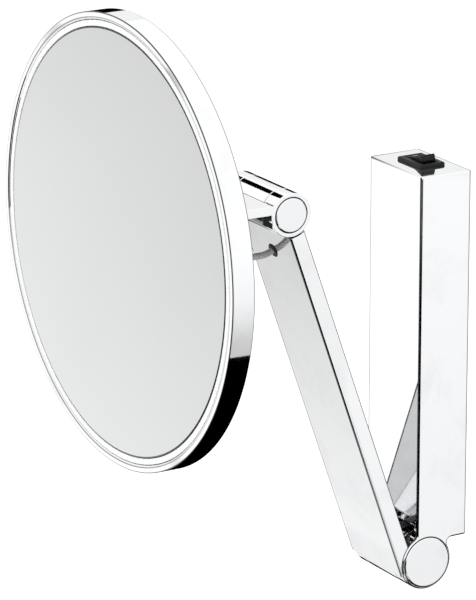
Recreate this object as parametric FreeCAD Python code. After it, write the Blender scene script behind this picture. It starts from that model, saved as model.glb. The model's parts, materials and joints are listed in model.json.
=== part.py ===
import FreeCAD, Part
import math
import os

# Wall-mounted, lit shaving mirror on a folding arm.
# Millimetres. The wall is the plane Y = 0 and the mirror looks along -Y.
# +Z is up, X runs along both hinge pins. Origin: centre of the wall plate's back.

# ---- driving dimensions -------------------------------------------------
POST_W = 45.6            # width of post, arm and bracket (X)
POST_D = 27.2            # depth of post from the wall
POST_H = 181.2           # height of post
POST_T = 1.8             # casing wall
EDGE_R = 1.3             # rounding of the long casing edges
FRONT_LOW = -83.0        # lower edge of the post's front wall
PLATE_T = 2.5            # wall plate thickness
WALL_HOLE_Z = 70.0       # wall screws at +Z and -Z of this
WALL_HOLE_R = 2.6
INLET_Z = -52.0          # mains inlet in the wall plate

LOW_Y, LOW_Z = -21.9, -100.7     # lower hinge axis
LOW_R = 13.7                     # ear and knuckle radius, lower hinge
LOW_CAP_R = 12.6
LOW_PIN_R = 4.0
LOW_IN = 14.0                    # inner face of the post's ears
RUN = 0.05                       # radial running clearance of every pin

TILT = 19.5                      # arm lean from vertical, degrees
ARM_S = 198.5                    # hinge distance along the arm
ARM_N = 10.8                     # hinge offset in front of the lower hinge
ARM_REAR, ARM_FRONT = 6.6, 14.7  # arm body, measured in front of the lower axis
ARM_T = 1.6
ARM_CUT_LOW = 14.05              # hollow round the post's ears
ARM_CUT_UP = 11.2                # hollow round the bracket's ears

UP_R = 10.5                      # ear and knuckle radius, upper hinge
UP_CAP_R = 8.5
UP_PIN_R = 3.0
UP_IN = 13.8                     # inner face of the bracket's ears
EAR_FRONT = 10.1                 # square nose of the bracket's ears
EAR_LOW = 5.6
PLATE_LO, PLATE_HI = 1.2, 5.6    # bracket plate, above the upper axis

HEAD_FRONT_Y = -178.5            # front plane of the mirror head
HEAD_T = 11.2                    # head thickness
HEAD_Z = 75.6                    # mirror centre
HEAD_R = 106.0
GLASS_R = 99.0
GLASS_T = 3.0
GLASS_SAG = 2.0                  # hollow of the magnifying glass
SWIVEL_GAP = 15.0                # swivel axis behind the head's back
SWIVEL_R = 8.0
SWIVEL_PIN_R = 3.0

SWC_X, SWC_Y = -1.2, -12.3       # switch centre on the post's top
BEZ_H = 1.6                      # bezel above the post's top
ROCK = 14.5                      # rocker lean, either way

LEAD_R = 1.6                     # lamp lead
GROMMET_S = 175.5                # lead outlet along the arm

HW = POST_W / 2.0
TOP = POST_H / 2.0
V = FreeCAD.Vector
os.makedirs("parts", exist_ok=True)
nodes = {}


# ---- helpers ------------------------------------------------------------
def box(x0, x1, y0, y1, z0, z1):
    return Part.makeBox(x1 - x0, y1 - y0, z1 - z0, V(x0, y0, z0))


def cylx(y, z, r, x0, x1):
    return Part.makeCylinder(r, x1 - x0, V(x0, y, z), V(1, 0, 0))


def cyly(x, z, r, y0, y1):
    return Part.makeCylinder(r, y1 - y0, V(x, y0, z), V(0, 1, 0))


def cylz(x, y, r, z0, z1):
    return Part.makeCylinder(r, z1 - z0, V(x, y, z0), V(0, 0, 1))


def prism(pts, vec):
    w = Part.makePolygon([V(*p) for p in pts] + [V(*pts[0])])
    return Part.Face(w).extrude(V(*vec))


def fuse(*s):
    out = s[0]
    for t in s[1:]:
        out = out.fuse(t)
    return out.removeSplitter()


def cut(a, *s):
    for t in s:
        a = a.cut(t)
    return a


def hexx(y, z, r, x0, x1):
    pts = [(x0, y + r * math.cos(math.radians(60 * i)), z + r * math.sin(math.radians(60 * i))) for i in range(6)]
    return prism(pts, (x1 - x0, 0, 0))


def round_edges(shape, radius, pick):
    edges = [e for e in shape.Edges if pick(e)]
    return shape.makeFillet(radius, edges) if edges else shape


def is_line_along(e, axis, length):
    if not isinstance(e.Curve, Part.Line) or e.Length < length:
        return False
    a, b = e.Vertexes[0].Point, e.Vertexes[-1].Point
    d = (b - a).normalize()
    return abs(abs(d.dot(V(*axis))) - 1) < 1e-6


def put(name, shape):
    shape = shape.removeSplitter() if shape.ShapeType != "Compound" else shape
    nodes[name] = shape
    return shape


def group(name, shapes):
    nodes[name] = Part.makeCompound(shapes)


def tube(points, r, name):
    """Round lead through the points: straight runs joined by tangent arcs."""
    p = [V(*q) for q in points]
    edges, at, radii = [], p[0], []
    for a, b, c in zip(p, p[1:], p[2:]):
        u, w = (b - a), (c - b)
        lu, lw = u.Length, w.Length
        u.normalize(), w.normalize()
        turn = math.acos(max(-1, min(1, u.dot(w))))
        t = 0.45 * min(lu, lw)
        rad = t / math.tan(turn / 2)
        radii.append(round(rad, 1))
        s, e = b - u * t, b + w * t
        bis = (w - u).normalize()
        centre = b + bis * (rad / math.cos(turn / 2))
        mid = centre - bis * rad
        edges += [Part.LineSegment(at, s).toShape(), Part.Arc(s, mid, e).toShape()]
        at = e
    edges.append(Part.LineSegment(at, p[-1]).toShape())
    path = Part.Wire(edges)
    d = (p[1] - p[0]).normalize()
    ring = Part.Wire(Part.makeCircle(r, p[0], d))
    solid = path.makePipeShell([ring], True, False)
    want = math.pi * r * r * path.Length
    print(name, "length %.1f" % path.Length, "radii", radii, "volume ratio %.4f" % (solid.Volume / want))
    return solid


# ---- arm placement ------------------------------------------------------
# The arm is drawn upright with its lower axis at the origin, then leaned out.
ARM_PLACE = FreeCAD.Placement(V(0, LOW_Y, LOW_Z), FreeCAD.Rotation(V(1, 0, 0), TILT))


def lean(shape):
    s = shape.copy()
    s.Placement = ARM_PLACE.multiply(s.Placement)
    return s


def lean_point(x, y, z):
    q = ARM_PLACE.multVec(V(x, y, z))
    return (q.x, q.y, q.z)


UP = ARM_PLACE.multVec(V(0, -ARM_N, ARM_S))
UP_Y, UP_Z = UP.y, UP.z
HEAD_BACK_Y = HEAD_FRONT_Y + HEAD_T
SW_Y = HEAD_BACK_Y + SWIVEL_GAP

# ======================= WALL POST =======================================
# wall plate: flat back on the wall, two screw holes, inlet, lower tab
plate = box(-20.6, 20.6, -PLATE_T, 0, -84, 86)
plate = fuse(plate, box(-16, 16, -9.3, 0, -88.6, -85.2), box(-16, 16, -PLATE_T, 0, -88.6, -84))
plate = cut(plate,
            cyly(0, WALL_HOLE_Z, WALL_HOLE_R, -4, 1),
            cyly(0, -WALL_HOLE_Z, WALL_HOLE_R, -4, 1),
            cyly(0, INLET_Z, 8.0, -4, 1),
            cylz(-10, -5.4, 1.7, -90, -84),
            cylz(10, -5.4, 1.7, -90, -84))
for zz in (-28, 44):
    for xx in (-17.6, 17.6):
        plate = cut(plate, cyly(xx, zz, 1.3, -4, 1))
put("wall_plate", plate)

# post casing: side cheeks that run down into the round ears
rf = 2.5                                     # concave roundings beside the ear
fz = LOW_Z + math.sqrt((LOW_R + rf) ** 2 - (-POST_D - rf - LOW_Y) ** 2)
by = LOW_Y + math.sqrt((LOW_R + rf) ** 2 - (-TOP - rf - LOW_Z) ** 2)
cf, cb = V(0, -POST_D - rf, fz), V(0, by, -TOP - rf)
ax = V(0, LOW_Y, LOW_Z)


def on(c, d, r):
    return c + (d - c).normalize() * r


f1, f2 = V(0, -POST_D, fz), on(ax, cf, LOW_R)
fm = cf + ((f1 - cf) + (f2 - cf)).normalize() * rf
b1, b2 = V(0, by, -TOP), on(ax, cb, LOW_R)
bm = cb + ((b1 - cb) + (b2 - cb)).normalize() * rf
cheek_wire = Part.Wire([
    Part.LineSegment(V(0, 0, -TOP), V(0, 0, TOP)).toShape(),
    Part.LineSegment(V(0, 0, TOP), V(0, -POST_D, TOP)).toShape(),
    Part.LineSegment(V(0, -POST_D, TOP), f1).toShape(),
    Part.Arc(f1, fm, f2).toShape(),
    Part.Arc(f2, V(0, LOW_Y - LOW_R * 0.5, LOW_Z - LOW_R * math.sqrt(0.75)), b2).toShape(),
    Part.Arc(b2, bm, b1).toShape(),
    Part.LineSegment(b1, V(0, 0, -TOP)).toShape(),
])
casing = Part.Face(cheek_wire).extrude(V(POST_W, 0, 0))
casing.translate(V(-HW, 0, 0))
casing = casing.removeSplitter()


def long_post_edge(e):
    if is_line_along(e, (0, 0, 1), 150):
        return e.Vertexes[0].Point.y < -POST_D + 0.1
    if is_line_along(e, (1, 0, 0), 40):
        p = e.Vertexes[0].Point
        return p.z > TOP - 0.1 and p.y < -POST_D + 0.1
    if is_line_along(e, (0, 1, 0), 20):
        return e.Vertexes[0].Point.z > TOP - 0.1
    return False


casing = round_edges(casing, EDGE_R, lambda e: is_line_along(e, (0, 0, 1), 150) and e.Vertexes[0].Point.y < -POST_D + 0.1)
inner = HW - POST_T
casing = cut(casing,
             box(-inner, inner, -POST_D + POST_T, 1, -78.5, TOP - POST_T),        # main cavity
             box(-inner, inner, -POST_D - 20, -23.6, -78.5 - 60, FRONT_LOW).common(box(-inner, inner, -POST_D - 1, -23.6, LOW_Z + 9.0, FRONT_LOW)).cut(cylx(LOW_Y, LOW_Z, LOW_R, -30, 30)),
             box(-inner, inner, -23.7, 1, LOW_Z + 22, -78.4),
             box(-LOW_IN, LOW_IN, -POST_D - 20, -11.5, LOW_Z - 20, FRONT_LOW),     # room for the knuckle
             box(-LOW_IN, LOW_IN, -POST_D + POST_T, -11.5, LOW_Z + 12, -78.4),
             cylx(LOW_Y, LOW_Z, LOW_R + 0.4, -LOW_IN, LOW_IN),
             box(-LOW_IN, LOW_IN, -POST_D - 20, 1, LOW_Z - 20, -TOP),
             box(-inner, inner, -9.6, 1, -TOP + POST_T, -78.4),                    # lower back room
             box(-LOW_IN, LOW_IN, -11.6, 1, -TOP + POST_T, -78.4))
# lower front wall edge is chamfered
casing = cut(casing, prism([(-inner, -POST_D - 0.01, FRONT_LOW - 0.01), (-inner, -POST_D + 1.0, FRONT_LOW - 0.01), (-inner, -POST_D - 0.01, FRONT_LOW + 1.2)], (2 * inner, 0, 0)))
# hinge bores, head and nut pockets, cap seats
casing = cut(casing,
             cylx(LOW_Y, LOW_Z, LOW_PIN_R, -30, 30),
             cylx(LOW_Y, LOW_Z, 7.6, 16.2, 21), cylx(LOW_Y, LOW_Z, 7.6, -21, -16.2),
             cylx(LOW_Y, LOW_Z, LOW_CAP_R + 0.05, 20.2, 30), cylx(LOW_Y, LOW_Z, LOW_CAP_R + 0.05, -30, -20.2))
# switch opening and lower screw holes
casing = cut(casing, box(SWC_X - 8.9, SWC_X + 8.9, SWC_Y - 5.6, SWC_Y + 5.6, TOP - 3, TOP + 1),
             cylz(-10, -5.4, 2.1, -TOP - 1, -TOP + 3), cylz(10, -5.4, 2.1, -TOP - 1, -TOP + 3))
put("post_housing", casing)

# casing screws, from below into the wall plate's tab
scr = []
for xx in (-10, 10):
    s = fuse(cylz(xx, -5.4, 1.65, -TOP - 0.1, -85.4), cylz(xx, -5.4, 3.2, -TOP - 1.9, -TOP - 0.02))
    scr.append(cut(s, box(xx - 2.4, xx + 2.4, -5.9, -4.9, -TOP - 2.5, -TOP - 1.2)))
group("casing_screws", scr)

# inlet grommet in the wall plate
g = fuse(cyly(0, INLET_Z, 7.95, -PLATE_T, -0.3), cyly(0, INLET_Z, 9.6, -PLATE_T - 1.4, -PLATE_T))
put("inlet_grommet", cut(g, cyly(0, INLET_Z, 3.2, -6, 1)))

# LED driver and its screws
drv = box(-14.5, 14.5, -21.5, -PLATE_T - 0.02, -24, 40)
drv = round_edges(drv, 1.5, lambda e: is_line_along(e, (0, 0, 1), 50))
ear = fuse(box(-20.2, 20.2, -4.6, -PLATE_T - 0.02, -31, -24.5), box(-20.2, 20.2, -4.6, -PLATE_T - 0.02, 40.5, 47))
drv = fuse(drv, ear, box(-12, 12, -4.6, -PLATE_T - 0.02, -26, 42))
for zz in (-28, 44):
    for xx in (-17.6, 17.6):
        drv = cut(drv, cyly(xx, zz, 1.45, -6, 0))
put("led_driver", drv)
scr = []
for zz in (-28, 44):
    for xx in (-17.6, 17.6):
        s = fuse(cyly(xx, zz, 1.25, -4.62, -0.4), cyly(xx, zz, 2.4, -6.2, -4.64), cyly(xx, zz, 1.25, -4.7, -4.6))
        scr.append(cut(s, box(xx - 1.8, xx + 1.8, -6.6, -5.6, zz - 0.3, zz + 0.3)))
group("driver_screws", scr)

# terminal block for the mains wires
tb = box(-13, 13, -15.5, -PLATE_T - 0.02, 50, 62)
for xx in (-8.5, 0, 8.5):
    tb = cut(tb, cylz(xx, -7.2, 2.3, 56, 63), cyly(xx, 56, 1.9, -16, -9.5))
put("terminal_block", tb)
group("terminal_screws", [cut(cyly(xx, 56, 1.8, -14.0, -9.6), box(xx - 1.9, xx + 1.9, -14.3, -13.3, 55.7, 56.3)) for xx in (-8.5, 0, 8.5)])

# lower hinge: pin with head, nut, disc springs, washers, caps
pin = fuse(cylx(LOW_Y, LOW_Z, LOW_PIN_R, -19.6, 16.25), hexx(LOW_Y, LOW_Z, 7.2, 16.24, 19.9))
put("lower_pivot_pin", cut(pin, cylx(LOW_Y, LOW_Z, 2.2, 18.0, 20.5)))
nut = cut(hexx(LOW_Y, LOW_Z, 7.0, -20.1, -17.6), cylx(LOW_Y, LOW_Z, LOW_PIN_R + 0.04, -21, -17))
put("lower_pivot_nut", nut)
group("lower_disc_springs", [cut(cylx(LOW_Y, LOW_Z, 7.2, x0, x0 + 0.6), cylx(LOW_Y, LOW_Z, LOW_PIN_R + 0.1, -21, -16)) for x0 in (-17.56, -16.86)])


def cap(y, z, r, x0, x1, sign):
    d = cylx(y, z, r, min(x0, x1), max(x0, x1))
    edge = [e for e in d.Edges if e.Length > 20 and abs(e.CenterOfMass.x - x1) < 1e-3]
    return d.makeChamfer(0.35, edge)


put("lower_end_cap_right", cap(LOW_Y, LOW_Z, LOW_CAP_R, 20.25, HW + 0.45, 1))
put("lower_end_cap_left", cap(LOW_Y, LOW_Z, LOW_CAP_R, -20.25, -HW - 0.45, -1))

# rocker switch on the post's top
bez = box(SWC_X - 10, SWC_X + 10, SWC_Y - 6.9, SWC_Y + 6.9, TOP, TOP + BEZ_H)
bez = bez.makeChamfer(0.5, [e for e in bez.Edges if abs(e.CenterOfMass.z - TOP - BEZ_H) < 1e-6])
body = fuse(bez, box(SWC_X - 8.8, SWC_X + 8.8, SWC_Y - 5.5, SWC_Y + 5.5, TOP - 13, TOP + 0.01))
body = cut(body, box(SWC_X - 8.15, SWC_X + 8.15, SWC_Y - 4.0, SWC_Y + 4.0, TOP - 7.4, TOP + 3),
           cyly(SWC_X, TOP + 0.3, 1.0, SWC_Y - 5.0, SWC_Y + 5.0))
put("switch_body", body)
put("switch_pin", cyly(SWC_X, TOP + 0.3, 1.0, SWC_Y - 5.0, SWC_Y + 5.0))
group("switch_terminals", [box(SWC_X + xx - 0.4, SWC_X + xx + 0.4, SWC_Y - 2.4, SWC_Y + 2.4, TOP - 21, TOP - 13.0) for xx in (-5.5, 0, 5.5)])
put("switch_contact", fuse(box(SWC_X - 5.6, SWC_X + 5.6, SWC_Y - 1.8, SWC_Y + 1.8, TOP - 7.38, TOP - 6.9), box(SWC_X - 0.6, SWC_X + 0.6, SWC_Y - 1.8, SWC_Y + 1.8, TOP - 7.0, TOP - 6.3)))

# rocker: shallow V on top, leaning so that its +X end stands up
rz = TOP + 0.3
prof = [(-7.2, 3.35), (-5.8, 3.15), (0, 2.7), (5.8, 3.15), (7.2, 3.35), (7.35, 0.4), (2.6, -4.4), (-2.6, -4.4), (-7.35, 0.4)]
rock = prism([(SWC_X + x, SWC_Y - 3.7, rz + z) for x, z in prof], (0, 7.4, 0))
rock = cut(rock, cyly(SWC_X, rz, 1.0 + RUN, SWC_Y - 6, SWC_Y + 6))
rock.rotate(V(SWC_X, SWC_Y, rz), V(0, 1, 0), -ROCK)
put("switch_rocker", rock)

# ======================= ARM =============================================
arm = box(-HW, HW, -ARM_FRONT, -ARM_REAR, -0.6, ARM_S)
arm = round_edges(arm, 1.0, lambda e: is_line_along(e, (0, 0, 1), 150))
ai = HW - ARM_T
arm = cut(arm, cylx(0, 0, ARM_CUT_LOW, -30, 30), cylx(-ARM_N, ARM_S, ARM_CUT_UP, -30, 30),
          box(-30, 30, -30, 0, ARM_S - 6, ARM_S + 5),
          box(-ai, ai, -ARM_FRONT + ARM_T, 0, 16.0, 182.0))
# keep only the solid with the front wall
arm = cut(arm, box(-11.1, 4.6, -ARM_FRONT + ARM_T, -8.2, -2, 17), box(-11.1, 11.1, -ARM_FRONT + ARM_T, -8.2, 181, 200))
pads = [box(-11, 4.5, -ARM_FRONT + ARM_T - 0.01, -11.6, 20, 42), box(-11, -4.2, -ARM_FRONT + ARM_T - 0.01, -11.6, 157, 180), box(4.2, 11, -ARM_FRONT + ARM_T - 0.01, -11.6, 157, 180)]
BOSS = [(15, 60), (-15, 140), (15, 140)]
bosses = [cyly(x, z, 3.0, -ARM_FRONT + ARM_T - 0.01, -8.25) for x, z in BOSS]
arm = fuse(arm, *pads, *bosses)
TONG_LOW = [(-7.6, 31), (1.2, 31)]
TONG_UP = [(-7.6, 168), (7.6, 168)]
for x, z in TONG_LOW + TONG_UP:
    arm = cut(arm, cyly(x, z, 1.3, -13.7, -8))
for x, z in BOSS:
    arm = cut(arm, cyly(x, z, 1.1, -12.6, -8))
arm = cut(arm, cyly(0, GROMMET_S, 2.7, -16, -12))
arm_solids = sorted(arm.Solids, key=lambda q: -q.Volume)
arm = arm_solids[0]
put("arm_housing", lean(arm))

cover = box(-ai + 0.05, ai - 0.05, -8.2, -ARM_REAR, 16.05, 181.95)
for x, z in BOSS:
    cover = cut(cover, cyly(x, z, 1.35, -9, -6), Part.makeCone(1.35, 2.55, 1.25, V(x, -7.84, z), V(0, 1, 0)))
cover = cut(cover, cyly(9.5, 21.4, 2.3, -9, -6))
put("arm_rear_cover", lean(cover))
scr = []
for x, z in BOSS:
    s = fuse(cyly(x, z, 1.05, -12.4, -7.8), Part.makeCone(1.05, 2.4, 1.15, V(x, -7.82, z), V(0, 1, 0)))
    scr.append(lean(cut(s, box(x - 1.4, x + 1.4, -7.2, -6.5, z - 0.25, z + 0.25))))
group("arm_cover_screws", scr)

# lower knuckle with its tongue
kn = fuse(cylx(0, 0, LOW_R, -13.7, 13.7), box(-11, 4.5, -11.5, -8.3, 4, 43))
kn = cut(kn, cylx(0, 0, 5.5, -20, 20), cylx(0, 0, 9.2, 12.9, 14), cylx(0, 0, 9.2, -14, -12.9))
for x, z in TONG_LOW:
    kn = cut(kn, cyly(x, z, 1.6, -12, -8))
put("arm_lower_knuckle", lean(kn))
# upper knuckle with a forked tongue
ku = fuse(cylx(-ARM_N, ARM_S, UP_R, -13.5, 13.5), box(-11, 11, -11.5, -8.3, 181, ARM_S - 6), box(-11, -4.2, -11.5, -8.3, 157, 184), box(4.2, 11, -11.5, -8.3, 157, 184))
ku = cut(ku, cylx(-ARM_N, ARM_S, 4.4, -20, 20), cylx(-ARM_N, ARM_S, 7.2, 12.7, 14), cylx(-ARM_N, ARM_S, 7.2, -14, -12.7))
for x, z in TONG_UP:
    ku = cut(ku, cyly(x, z, 1.6, -12, -8))
put("arm_upper_knuckle", lean(ku))
scr = []
for x, z in TONG_LOW + TONG_UP:
    s = cyly(x, z, 1.25, -13.5, -8.3)
    s = fuse(s, cyly(x, z, 1.5, -9.0, -8.25))
    scr.append(lean(s))
group("knuckle_screws", scr)

# hinge bushes (plain bearings) and friction washers
group("lower_hinge_bushes", [lean(cut(cylx(0, 0, 5.5, a, b), cylx(0, 0, LOW_PIN_R + RUN, -20, 20))) for a, b in ((-12.85, -3), (3, 12.85))])
group("lower_friction_washers", [lean(cut(cylx(0, 0, 9.0, a, b), cylx(0, 0, LOW_PIN_R + RUN + 0.02, -20, 20))) for a, b in ((-13.85, -12.92), (12.92, 13.85))])
group("upper_hinge_bushes", [lean(cut(cylx(-ARM_N, ARM_S, 4.4, a, b), cylx(-ARM_N, ARM_S, UP_PIN_R + RUN, -20, 20))) for a, b in ((-12.65, -3), (3, 12.65))])
group("upper_friction_washers", [lean(cut(cylx(-ARM_N, ARM_S, 7.0, a, b), cylx(-ARM_N, ARM_S, UP_PIN_R + RUN + 0.02, -20, 20))) for a, b in ((-13.65, -12.72), (12.72, 13.65))])

# lead outlet grommet in the arm's front
gr = fuse(cyly(0, GROMMET_S, 2.65, -ARM_FRONT, -12.4), cyly(0, GROMMET_S, 3.5, -ARM_FRONT - 0.7, -ARM_FRONT))
gr = gr.cut(cyly(0, GROMMET_S, LEAD_R, -20, -10))
put("arm_grommet", lean(gr))

# ======================= BRACKET (arm to head) ===========================
def rel(y, z):
    return UP_Y + y, UP_Z + z


ears = []
for x0, x1 in ((-HW, -UP_IN), (UP_IN, HW)):
    e = fuse(cylx(UP_Y, UP_Z, UP_R, x0, x1), box(x0, x1, UP_Y - EAR_FRONT, UP_Y, UP_Z - EAR_LOW, UP_Z + PLATE_HI))
    ears.append(e)
zp0, zp1 = UP_Z + PLATE_LO, UP_Z + PLATE_HI
outline = [(-HW, UP_Y - 5), (-HW, SW_Y + 10.5), (-HW + 4.5, SW_Y + 6.0), (-7.2, SW_Y + 1.5), (7.2, SW_Y + 1.5), (HW - 4.5, SW_Y + 6.0), (HW, SW_Y + 10.5), (HW, UP_Y - 5)]
plt = prism([(x, y, zp0) for x, y in outline], (0, 0, zp1 - zp0))
SW_LO, SW_HI = 2 * HEAD_Z - zp1, zp1           # swivel barrel is centred on the mirror
barrel = cylz(0, SW_Y, SWIVEL_R, SW_LO, SW_HI)
br = fuse(plt, barrel, *ears)
br = cut(br, cylx(UP_Y, UP_Z, UP_R + 0.4, -UP_IN, UP_IN))
br = cut(br, box(-UP_IN, UP_IN, UP_Y - 9, UP_Y + 30, zp0 - 1, zp1 + 3))
GL_Y = SW_Y + 15.0                               # lead gland in the plate's underside
br = cut(br, cylz(0, SW_Y, SWIVEL_PIN_R + RUN, SW_LO - 1, SW_HI + 1),
         cylz(0, GL_Y, 2.4, zp0 - 1, zp0 + 3.2),
         cylx(UP_Y, UP_Z, UP_PIN_R, -30, 30),
         cylx(UP_Y, UP_Z, 5.6, 16.4, 21), cylx(UP_Y, UP_Z, 5.6, -21, -16.4),
         cylx(UP_Y, UP_Z, UP_CAP_R + 0.05, 20.2, 30), cylx(UP_Y, UP_Z, UP_CAP_R + 0.05, -30, -20.2))
put("bracket", br)

pin = fuse(cylx(UP_Y, UP_Z, UP_PIN_R, -19.6, 16.45), hexx(UP_Y, UP_Z, 5.2, 16.44, 19.7))
put("upper_pivot_pin", cut(pin, cylx(UP_Y, UP_Z, 1.6, 18.0, 20.5)))
put("upper_pivot_nut", cut(hexx(UP_Y, UP_Z, 5.2, -20.0, -17.7), cylx(UP_Y, UP_Z, UP_PIN_R + 0.04, -21, -17)))
group("upper_disc_springs", [cut(cylx(UP_Y, UP_Z, 5.3, x0, x0 + 0.5), cylx(UP_Y, UP_Z, UP_PIN_R + 0.1, -21, -16)) for x0 in (-17.6, -17.05)])
put("upper_end_cap_right", cap(UP_Y, UP_Z, UP_CAP_R, 20.25, HW + 0.45, 1))
put("upper_end_cap_left", cap(UP_Y, UP_Z, UP_CAP_R, -20.25, -HW - 0.45, -1))
gl = fuse(cylz(0, GL_Y, 2.35, zp0, zp0 + 3.0), cylz(0, GL_Y, 3.3, zp0 - 1.6, zp0))
put("lead_gland", cut(gl, cylz(0, GL_Y, LEAD_R, zp0 - 4, zp0 + 4)))

# ======================= MIRROR HEAD =====================================
def revolve(profile):
    """profile: (radius, depth behind the head's front plane) points"""
    pts = [V(r, HEAD_FRONT_Y + d, HEAD_Z) for r, d in profile]
    f = Part.Face(Part.makePolygon(pts + [pts[0]]))
    return f.revolve(V(0, 0, HEAD_Z), V(0, 1, 0), 360)


def ring(r0, r1, d0, d1):
    return revolve([(r0, d0), (r1, d0), (r1, d1), (r0, d1)])


put("mirror_rim", revolve([(106.0, 0.5), (105.5, 0.0), (103.6, 0.0), (102.35, 0.5), (102.35, 1.6), (104.2, 1.6), (104.2, HEAD_T), (105.6, HEAD_T), (106.0, HEAD_T - 0.4)]))
put("light_ring", revolve([(99.15, 0.35), (102.25, 0.35), (102.25, 1.7), (104.1, 1.7), (104.1, 3.6), (99.15, 3.6)]))

# concave glass: spherical front and back
Rg = (GLASS_R ** 2 + GLASS_SAG ** 2) / (2 * GLASS_SAG)
gf = HEAD_FRONT_Y + 0.35
a0, a1 = V(0, gf + GLASS_SAG, HEAD_Z), V(GLASS_R, gf, HEAD_Z)
am = V(GLASS_R / 2, gf + Rg * 0 + GLASS_SAG - (Rg - math.sqrt(Rg ** 2 - (GLASS_R / 2) ** 2)), HEAD_Z)
sh = V(0, GLASS_T, 0)
gw = Part.Wire([Part.Arc(a0, am, a1).toShape(), Part.LineSegment(a1, a1 + sh).toShape(), Part.Arc(a1 + sh, am + sh, a0 + sh).toShape(), Part.LineSegment(a0 + sh, a0).toShape()])
glass = Part.Face(gw).revolve(V(0, 0, HEAD_Z), V(0, 1, 0), 360)
put("mirror_glass", glass)

CAR0, CAR1 = 7.2, 8.7           # carrier plate
pad = ring(66, 84, 3.4, CAR0).cut(glass).cut(box(-3, 3, HEAD_FRONT_Y, HEAD_BACK_Y, HEAD_Z, HEAD_Z + 110))
pad = sorted(pad.Solids, key=lambda q: -q.Volume)[0]
put("adhesive_pad", pad)
car = revolve([(6.0, CAR0), (101.5, CAR0), (101.5, CAR1), (6.0, CAR1)])
HUB_SCR = [(14 * math.cos(math.radians(a)), 14 * math.sin(math.radians(a))) for a in (45, 135, 225, 315)]
COV_SCR = [(92 * math.cos(math.radians(a)), 92 * math.sin(math.radians(a))) for a in range(30, 390, 60)]
for x, z in HUB_SCR:
    car = fuse(car, cyly(x, HEAD_Z + z, 3.4, HEAD_FRONT_Y + CAR1 - 0.01, HEAD_FRONT_Y + 9.65))
for x, z in COV_SCR:
    car = fuse(car, cyly(x, HEAD_Z + z, 3.2, HEAD_FRONT_Y + CAR1 - 0.01, HEAD_FRONT_Y + 9.65))
for x, z in HUB_SCR + COV_SCR:
    car = cut(car, cyly(x, HEAD_Z + z, 1.3, HEAD_FRONT_Y + CAR0 - 1, HEAD_FRONT_Y + 10))
put("carrier_plate", car)
put("led_board", cut(ring(95.5, 101.3, 6.35, 7.15), box(-4.5, 4.5, HEAD_FRONT_Y, HEAD_BACK_Y, HEAD_Z + 95.0, HEAD_Z + 97.0)))
leds = []
for i in range(48):
    b = box(-1.4, 1.4, HEAD_FRONT_Y + 5.6, HEAD_FRONT_Y + 6.33, HEAD_Z + 99.7, HEAD_Z + 101.1)
    b.rotate(V(0, 0, HEAD_Z), V(0, 1, 0), 7.5 * i + 3.75)
    leds.append(b)
group("leds", leds)
put("reflector_ring", ring(101.7, 104.1, 3.65, 8.5))
put("led_connector", box(-4.0, 4.0, HEAD_FRONT_Y + 4.9, HEAD_FRONT_Y + CAR0 - 0.02, HEAD_Z + 87.0, HEAD_Z + 94.5))
put("led_ribbon", box(-1.6, 1.6, HEAD_FRONT_Y + 6.4, HEAD_FRONT_Y + 7.1, HEAD_Z + 2, HEAD_Z + 86.9))
put("seal_ring", ring(101.8, 104.1, 8.6, 9.65))
cov = revolve([(5.0, 9.7), (103.95, 9.7), (103.95, 10.8), (103.55, HEAD_T), (5.0, HEAD_T)])
for x, z in HUB_SCR:
    cov = cut(cov, cyly(x, HEAD_Z + z, 1.6, HEAD_FRONT_Y + 9, HEAD_BACK_Y + 1))
for x, z in COV_SCR:
    cov = cut(cov, cyly(x, HEAD_Z + z, 1.6, HEAD_FRONT_Y + 9, HEAD_BACK_Y + 1), Part.makeCone(1.6, 2.9, 1.31, V(x, HEAD_BACK_Y - 1.3, HEAD_Z + z), V(0, 1, 0)))
put("back_cover", cov)
scr = []
for x, z in COV_SCR:
    s = fuse(cyly(x, HEAD_Z + z, 1.25, HEAD_FRONT_Y + CAR0 + 0.1, HEAD_BACK_Y - 1.2), Part.makeCone(1.3, 2.7, 1.2, V(x, HEAD_BACK_Y - 1.22, HEAD_Z + z), V(0, 1, 0)))
    s = cut(s, box(x - 1.7, x + 1.7, HEAD_BACK_Y - 0.6, HEAD_BACK_Y + 1, HEAD_Z + z - 0.3, HEAD_Z + z + 0.3), box(x - 0.3, x + 0.3, HEAD_BACK_Y - 0.6, HEAD_BACK_Y + 1, HEAD_Z + z - 1.7, HEAD_Z + z + 1.7))
    scr.append(s)
group("back_cover_screws", scr)

# swivel hub: round flange and two lugs
fl = cyly(0, HEAD_Z, 20.0, HEAD_BACK_Y + 0.02, HEAD_BACK_Y + 3.0)
lug_hi0, lug_hi1 = SW_HI + 0.9, SW_HI + 5.1
lug_lo1, lug_lo0 = SW_LO - 0.9, SW_LO - 5.1
lugs = []
for z0, z1 in ((lug_lo0, lug_lo1), (lug_hi0, lug_hi1)):
    lugs += [cylz(0, SW_Y, 7.5, z0, z1), box(-7.5, 7.5, HEAD_BACK_Y + 2.5, SW_Y, z0, z1)]
hub = fuse(fl, *lugs)
hub = cut(hub, cylz(0, SW_Y, SWIVEL_PIN_R, lug_lo0 - 1, lug_hi1 + 1), cyly(0, HEAD_Z, 4.0, HEAD_BACK_Y - 1, HEAD_BACK_Y + 4))
for x, z in HUB_SCR:
    hub = cut(hub, cyly(x, HEAD_Z + z, 1.6, HEAD_BACK_Y - 1, HEAD_BACK_Y + 4), Part.makeCone(1.6, 2.9, 1.31, V(x, HEAD_BACK_Y + 1.7, HEAD_Z + z), V(0, 1, 0)))
put("swivel_hub", hub)
scr = []
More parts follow.
